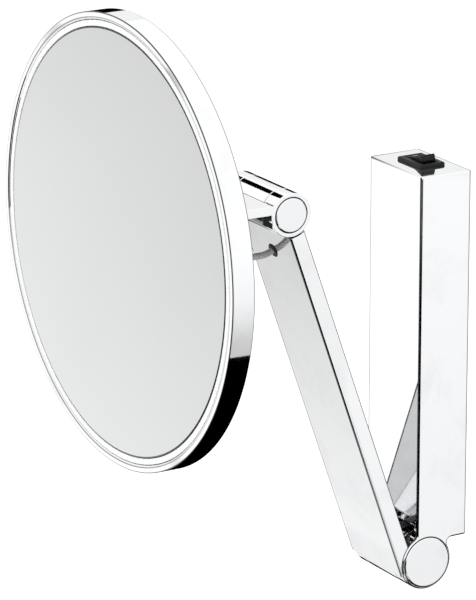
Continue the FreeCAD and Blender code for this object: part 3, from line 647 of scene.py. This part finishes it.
# ===========================================================================
# mirror head, turned pieces
# ===========================================================================
HC = (0, HEAD_Y, HEAD_Z)
rim = fillet([(p[0] * mm, p[1] * mm) for p in [(106.0, 0.0), (105.35, 0.0), (103.75, 0.0), (103.4, 0.0), (103.1, 0.3), (102.6, 0.3), (102.35, 0.6), (102.35, 1.6), (104.2, 1.6), (104.2, 11.2), (105.5, 11.2), (106.0, 11.2), (106.0, 10.65), (106.0, 0.65)]],
             [0.0003, 0, 0, 0.0001, 0, 0, 0.0001, 0, 0, 0.0002, 0, 0.0003, 0, 0], 6)
o = lathe("mirror_rim_turned", rim, HC, "Y", 288, MAT["chrome_casing"], "mirror_head", ("mirror_rim",))


# painted shade on the rim: a dark line and grey bands on the lip's inner wall and dark lines at the outer front and
# back corners, standing in for reflections
def rim_painted_shade(co):
    r = math.hypot(co.x, co.z - HEAD_Z) / mm
    d = abs(co.y - HEAD_Y) / mm
    if r < 103.9 and d < 2.0:
        if 103.2 < r < 103.6:
            return 0.9
        return 0.3 if r < 102.5 or 103.0 < r < 103.2 else 0.0
    front = 1 - (math.hypot(106 - r, d) - 0.35) / 0.3
    back = 1 - (math.hypot(106 - r, d - 11.2) - 0.3) / 0.25
    return max(0.75 * front, 0.9 * back)


shade_edges(o.data, rim_painted_shade)
opr = fillet([(p[0] * mm, p[1] * mm) for p in [(99.3, 0.35), (102.05, 0.35), (102.05, 1.7), (104.1, 1.7), (104.1, 3.6), (99.3, 3.6)]],
             [0.0003, 0.0002, 0, 0, 0, 0], 4)
lathe("light_ring_opal", opr, HC, "Y", 288, MAT["opal_ring"], "mirror_head", ("light_ring",))
gsk = fillet([(p[0] * mm, p[1] * mm) for p in [(102.07, 1.05), (102.33, 1.05), (102.33, 1.66), (102.07, 1.66)]], [0.0001, 0.0001, 0, 0], 3)
lathe("light_ring_gasket", gsk, HC, "Y", 288, MAT["black_rubber"], "mirror_head")

SAG, GR = 0.0020, 0.0990
RG = (GR ** 2 + SAG ** 2) / (2 * SAG)


def hollow(r):
    return 0.00035 + SAG - (RG - math.sqrt(RG ** 2 - r ** 2))


front = [(r * GR / 40, hollow(r * GR / 40)) for r in range(0, 40)]
glass = front + [(0.0982, hollow(0.0982)), (0.0983, hollow(0.0983)), (0.0990, 0.00072), (0.0990, 0.00335)] + [(r * GR / 40, hollow(r * GR / 40) + 0.003) for r in range(39, -1, -1)]
g = lathe("mirror_glass_hollow", glass, HC, "Y", 288, MAT["mirror_silver"], "mirror_head", ("mirror_glass",), closed=False)
g.data.materials.append(MAT["glass_edge"])
for poly in g.data.polygons:
    c = poly.center
    r = math.hypot(c.x, c.z - HEAD_Z)
    d = c.y - HEAD_Y
    if r > 0.0985 or (d > 0.0012 and abs(d - 0.003 - hollow(min(r, GR))) < 0.0002):
        poly.material_index = 1

cover = fillet([(p[0] * mm, p[1] * mm) for p in [(5.0, 9.7), (103.95, 9.7), (103.95, 11.2), (5.0, 11.2)]], [0, 0, 0.0004, 0.0002], 4)
dress("back_cover", 0.0002)

# ===========================================================================
# switch
# ===========================================================================
ROCK = Matrix.Translation((-0.0012, -0.0123, TOP + 0.0003)) @ Matrix.Rotation(math.radians(-14.5), 4, "Y")


def rocker():
    bm = bmesh.new()
    prof = [(-7.15, 3.33), (-5.4, 3.02), (-3.2, 2.80), (0, 2.68), (3.2, 2.80), (5.4, 3.02), (7.15, 3.33), (7.3, 0.4), (2.6, -4.35), (-2.6, -4.35), (-7.3, 0.4)]
    a = [bm.verts.new((x * mm, -0.00365, z * mm)) for x, z in prof]
    b = [bm.verts.new((x * mm, 0.00365, z * mm)) for x, z in prof]
    bm.faces.new(a)
    bm.faces.new(list(reversed(b)))
    for i in range(len(a)):
        k = (i + 1) % len(a)
        bm.faces.new([a[i], b[i], b[k], a[k]])
    bmesh.ops.recalc_face_normals(bm, faces=bm.faces)
    es = [e for e in bm.edges if e.calc_face_angle(0) > math.radians(20)]
    bmesh.ops.bevel(bm, geom=es, offset=0.00035, segments=4, profile=0.5, affect="EDGES")
    bmesh.ops.transform(bm, matrix=ROCK, verts=bm.verts)
    me = bpy.data.meshes.new("switch_rocker_moulded")
    bm.to_mesh(me)
    bm.free()
    smooth(me, 30)
    o = link("switch_rocker_moulded", me, MAT["switch_rocker_plastic"], "rocker", ("switch_rocker",))
    even_normals(o)


rocker()


def mark(name, shape):
    """A printed on or off mark, a hair proud of the rocker's face."""
    bm = bmesh.new()
    if shape == "bar":
        loops = [[(-4.75, -1.25), (-4.05, -1.25), (-4.05, 1.25), (-4.75, 1.25)]]
        f = bm.faces.new([bm.verts.new((x * mm, y * mm, 0)) for x, y in loops[0]])
    else:
        k = 36
        o_ = [bm.verts.new(((4.4 + 1.25 * math.cos(2 * math.pi * i / k)) * mm, 1.25 * math.sin(2 * math.pi * i / k) * mm, 0)) for i in range(k)]
        i_ = [bm.verts.new(((4.4 + 0.75 * math.cos(2 * math.pi * i / k)) * mm, 0.75 * math.sin(2 * math.pi * i / k) * mm, 0)) for i in range(k)]
        for i in range(k):
            j = (i + 1) % k
            bm.faces.new([o_[i], o_[j], i_[j], i_[i]])
    ext = bmesh.ops.extrude_face_region(bm, geom=list(bm.faces))
    vs = [v for v in ext["geom"] if isinstance(v, bmesh.types.BMVert)]
    bmesh.ops.translate(bm, verts=vs, vec=(0, 0, 0.00006))
    for v in bm.verts:                       # follow the shallow V of the rocker
        v.co.z += (2.68 + 0.012 * (v.co.x / mm) ** 2) * mm - 0.00002
    bmesh.ops.recalc_face_normals(bm, faces=bm.faces)
    bmesh.ops.transform(bm, matrix=ROCK, verts=bm.verts)
    me = bpy.data.meshes.new(name)
    bm.to_mesh(me)
    bm.free()
    link(name, me, MAT["mark_print"], "rocker")


mark("switch_mark_bar", "bar")
mark("switch_mark_ring", "ring")

# ===========================================================================
# leads
# ===========================================================================
GL_Y, ZP0 = -0.1373, 0.082809 + 0.0012
p0, p1 = lean(0, -0.0124, 0.1755), lean(0, -0.0202, 0.1755)
route = [p0, p0.lerp(p1, 0.55), p1, Vector((0, -0.1125, 0.0583)), Vector((0, -0.1255, 0.0613)), Vector((0, -0.1346, 0.0688)), Vector((0, GL_Y, 0.0786)), Vector((0, GL_Y, 0.0822)), Vector((0, GL_Y, ZP0 + 0.0026))]
lead = tube("head_lead_jacket", nurbs(route, 12), 0.0016, MAT["grey_lead"])
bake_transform(lead, "arm", "bracket", start=tuple(p1), end=(0, GL_Y, 0.0795))
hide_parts("head_lead")

he, hc = lean(0.0095, -0.0056, 0.0214), lean(0.0095, -0.0099, 0.0214)
ls = Vector((0.0095, -0.0152, -0.0740))
route = [ls, ls.lerp(Vector((0.0095, -0.01695, -0.08178)), 0.5), Vector((0.0095, -0.01695, -0.08178)), Vector((0.0095, -0.0256, -0.08575)), he, he.lerp(hc, 0.5), hc]
hl = tube("hinge_lead_jacket", nurbs(route, 12), 0.0016, MAT["black_lead"])
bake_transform(hl, "wall_post", "arm", start=(0.0095, -0.0200, -0.0832), end=(0.0095, -0.0320, -0.0840))
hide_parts("hinge_lead")

# rubber outlets with a rolled lip
gro = [(0.0016, 0.0124), (0.0016, 0.0153), (0.0023, 0.01539), (0.0030, 0.0152), (0.0035, 0.01475), (0.0035, 0.0147), (0.00265, 0.0147), (0.00265, 0.0124)]
prof = fillet([(r, -d) for r, d in gro], [0, 0.0002, 0.0003, 0.0004, 0, 0, 0, 0], 4)
o = lathe("arm_grommet_moulded", prof, (0, 0, 0.1755), "Y", 64, MAT["black_rubber"], None)
o.data.transform(ARM)
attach(o, "arm")
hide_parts("arm_grommet")
prof = fillet([(0.0016, ZP0 - 0.0016), (0.0029, ZP0 - 0.0016), (0.0033, ZP0 - 0.0009), (0.0033, ZP0), (0.00235, ZP0), (0.00235, ZP0 + 0.003), (0.0016, ZP0 + 0.003)], [0.0001, 0.0003, 0.0003, 0, 0, 0, 0], 4)
lathe("lead_gland_moulded", prof, (0, GL_Y, 0), "Z", 64, MAT["black_rubber"], "bracket", ("lead_gland",))


# ===========================================================================
# surroundings
# ===========================================================================
def quad_mesh(name, quads, mat):
    me = bpy.data.meshes.new(name)
    bm = bmesh.new()
    for q in quads:
        bm.faces.new([bm.verts.new(p) for p in q])
    bm.to_mesh(me)
    bm.free()
    me.materials.append(mat)
    o = bpy.data.objects.new(name, me)
    scene.collection.objects.link(o)
    return o


fm, fn, fl_, fs = start("floor_finish")
fv = coords(fn, fl_, (1, 1, 1))
fl_.new(ramp(fn, fl_, noise(fn, fl_, fv, 3.0, 3), [(0.3, (0.955, 0.956, 0.957)), (0.7, (0.965, 0.965, 0.965))]), fs.inputs["Base Color"])
fs.inputs["Roughness"].default_value = 0.9
fs.inputs["Specular IOR Level"].default_value = 0.1
FZ = -1.5
floor = quad_mesh("floor", [[(-12, -12, FZ), (12, -12, FZ), (12, 12, FZ), (-12, 12, FZ)]], fm)


def glow(name, level):
    m = bpy.data.materials.new(name)
    m.use_nodes = True
    n, l = m.node_tree.nodes, m.node_tree.links
    n.clear()
    e = n.new("ShaderNodeEmission")
    e.inputs["Color"].default_value = (level, level, level, 1)
    e.inputs["Strength"].default_value = 1.0
    out = n.new("ShaderNodeOutputMaterial")
    l.new(e.outputs[0], out.inputs["Surface"])
    return m


def only_gloss(o):
    o.visible_camera = False
    o.visible_diffuse = False
    o.visible_shadow = False
    o.visible_transmission = False
    o.visible_volume_scatter = False


def toned(name, quads):
    """A card seen by gloss only; each quad corner is (point, level)."""
    me = bpy.data.meshes.new(name)
    bm = bmesh.new()
    lay = bm.verts.layers.float.new("tone")
    for q in quads:
        vs = []
        for pt, level in q:
            v = bm.verts.new(pt)
            v[lay] = level
            vs.append(v)
        bm.faces.new(vs)
    bmesh.ops.remove_doubles(bm, verts=bm.verts, dist=1e-6)
    bm.to_mesh(me)
    bm.free()
    m = glow(name + "_tone", 1.0)
    n, l = m.node_tree.nodes, m.node_tree.links
    at = n.new("ShaderNodeAttribute")
    at.attribute_name = "tone"
    e = [x for x in n if x.type == "EMISSION"][0]
    l.new(at.outputs["Fac"], e.inputs["Color"])
    me.materials.append(m)
    o = bpy.data.objects.new(name, me)
    scene.collection.objects.link(o)
    only_gloss(o)
    return o


def dome_card(name, tones, az0, az1, dist=1.3, centre=(0, -0.09, 0.04)):
    """A bent card; azimuth 0 is towards -Y and 90 towards +X; tones is [(elevation, level), ...]."""
    c = Vector(centre)

    def at(a, e):
        a, e = math.radians(a), math.radians(e)
        return c + Vector((math.sin(a) * math.cos(e), -math.cos(a) * math.cos(e), math.sin(e))) * dist

    quads = []
    n = max(2, int(abs(az1 - az0) / 3))
    for i in range(n):
        a, b = az0 + (az1 - az0) * i / n, az0 + (az1 - az0) * (i + 1) / n
        for (e0, l0), (e1, l1) in zip(tones, tones[1:]):
            k = max(1, int((e1 - e0) / 4))
            for j in range(k):
                s0, s1 = j / k, (j + 1) / k
                f0, f1, m0, m1 = e0 + (e1 - e0) * s0, e0 + (e1 - e0) * s1, l0 + (l1 - l0) * s0, l0 + (l1 - l0) * s1
                quads.append([(at(a, f0), m0), (at(b, f0), m0), (at(b, f1), m1), (at(a, f1), m1)])
    return toned(name, quads)


def flat_card(name, corners, levels, rows=14):
    """A flat card: corners and levels run bottom left, bottom right, top right, top left."""
    a, b, c, d = [Vector(q) for q in corners]
    la, lb, lc, ld = levels
    quads = []
    for i in range(rows):
        for j in range(4):
            q = []
            for t, u in ((i, j), (i, j + 1), (i + 1, j + 1), (i + 1, j)):
                t, u = t / rows, u / 4
                lo_, hi_ = a.lerp(b, u), d.lerp(c, u)
                q.append((lo_.lerp(hi_, t), (la + (lb - la) * u) * (1 - t) + (ld + (lc - ld) * u) * t))
            quads.append(q)
    return toned(name, quads)


# dark flags and grey cards all round, seen only in the plating
dome_card("flag_below_right", [(-89.9, 0.0), (-40.5, 0.0)], 60, 239)
dome_card("flag_below_left", [(-89.9, 0.0), (-72, 0.0)], -121, 60)
dome_card("card_side", [(-40.5, 0.60), (-33, 0.67), (-25, 0.84), (-15, 0.98), (-5, 1.03), (10, 1.08)], 100, 155, 1.32)
dome_card("flag_front_right", [(-50, 0.0), (-8, 0.0)], -43, 76)
dome_card("card_left", [(-72, 0.90), (-10, 0.95)], -106, -72)
dome_card("flag_back_right", [(-40.5, 0.0), (9, 0.0)], 155, 182)
dome_card("flag_behind", [(-40.5, 0.0), (12.5, 0.0)], -178, -106)
dome_card("card_high_behind", [(12.5, 0.93), (30, 0.95)], -145, -104)
dome_card("flag_high_left", [(27, 0.0), (41, 0.0)], -101.5, -84)

sx, up = Vector((1, 0, 0)), Vector((0, 0, 1))
# grey card in front of the glass: lighter low on the camera's left
mc = Vector((0, HEAD_Y, HEAD_Z)) + Vector((-0.8235, -0.4869, -0.2910)) * 0.45
cols = (-0.106, -0.085, 0.02, 0.050)
table = [(-0.113, (0.99, 1.00, 0.88, 0.86)), (-0.10, (0.99, 0.975, 0.85, 0.84)), (0.0, (0.90, 0.885, 0.72, 0.70)),
         (0.10, (0.78, 0.775, 0.64, 0.62)), (0.113, (0.77, 0.76, 0.63, 0.61))]
toned("card_mirror", [[(mc + sx * cols[i] + up * z0, r0[i]), (mc + sx * cols[i + 1] + up * z0, r0[i + 1]), (mc + sx * cols[i + 1] + up * z1, r1[i + 1]), (mc + sx * cols[i] + up * z1, r1[i])]
                      for (z0, r0), (z1, r1) in zip(table, table[1:]) for i in range(3)])
# grey card in front of the arm, darker towards the top, and a dark one for the hollow under the plate
ar = Vector((-0.8235, -0.2012, -0.5303))
t0, t1 = lean(0, -0.0147, 0.200) + ar * 0.37, lean(0, -0.0147, -0.01) + ar * 0.37
flat_card("card_arm", [t1 - sx * 0.035, t1 + sx * 0.035, t0 + sx * 0.035, t0 - sx * 0.035], [0.97, 0.97, 0.68, 0.68])
h0 = lean(0, -0.0147, 0.202) + ar * 0.1
h1 = Vector((0, -0.113, 0.083)) + Vector((-0.82, -0.487, -0.291)) * 0.1
flat_card("flag_hollow", [h0 - sx * 0.03, h0 + sx * 0.03, h1 + sx * 0.03, h1 - sx * 0.03], [0.02, 0.02, 0.02, 0.02], 4)
# card beside the post: a little darker towards the foot
ps = Vector((0.8197, 0.4925, -0.2924)) * 0.33
b0, b1 = Vector((0.018, -0.012, -0.155)) + ps, Vector((0.018, -0.012, 0.10)) + ps
sy = Vector((-0.5, 0.85, 0))
flat_card("card_post_side", [b0 + sy * 0.045, b0 - sy * 0.045, b1 - sy * 0.045, b1 + sy * 0.045], [0.94, 0.94, 1.03, 1.03])
# card behind the foot of the arm, lighting its back
flat_card("card_cover", [(-0.1, -0.02, -0.11), (-0.1, 0.07, -0.11), (-0.1, 0.07, 0.06), (-0.1, -0.02, 0.06)], [0.72, 0.72, 0.72, 0.72], 4)

world = bpy.data.worlds.new("studio")
scene.world = world
world.use_nodes = True
bg = world.node_tree.nodes["Background"]
bg.inputs["Color"].default_value = (1, 1, 1, 1)
bg.inputs["Strength"].default_value = 1.08


def area(name, loc, target, size, power):
    d = bpy.data.lights.new(name, "AREA")
    d.shape = "DISK"
    d.size = size
    d.energy = power
    o = bpy.data.objects.new(name, d)
    scene.collection.objects.link(o)
    o.location = loc
    o.rotation_mode = "QUATERNION"
    o.rotation_quaternion = (Vector(target) - Vector(loc)).to_track_quat("-Z", "Y")
    o.visible_glossy = False
    o.visible_camera = False
    return o


area("soft_key", (1.4, -1.6, 1.8), (0, -0.1, 0.05), 1.6, 9)
area("floor_wash", (-2.0, 1.5, 2.5), (-2.5, 1.5, FZ), 3.0, 60)
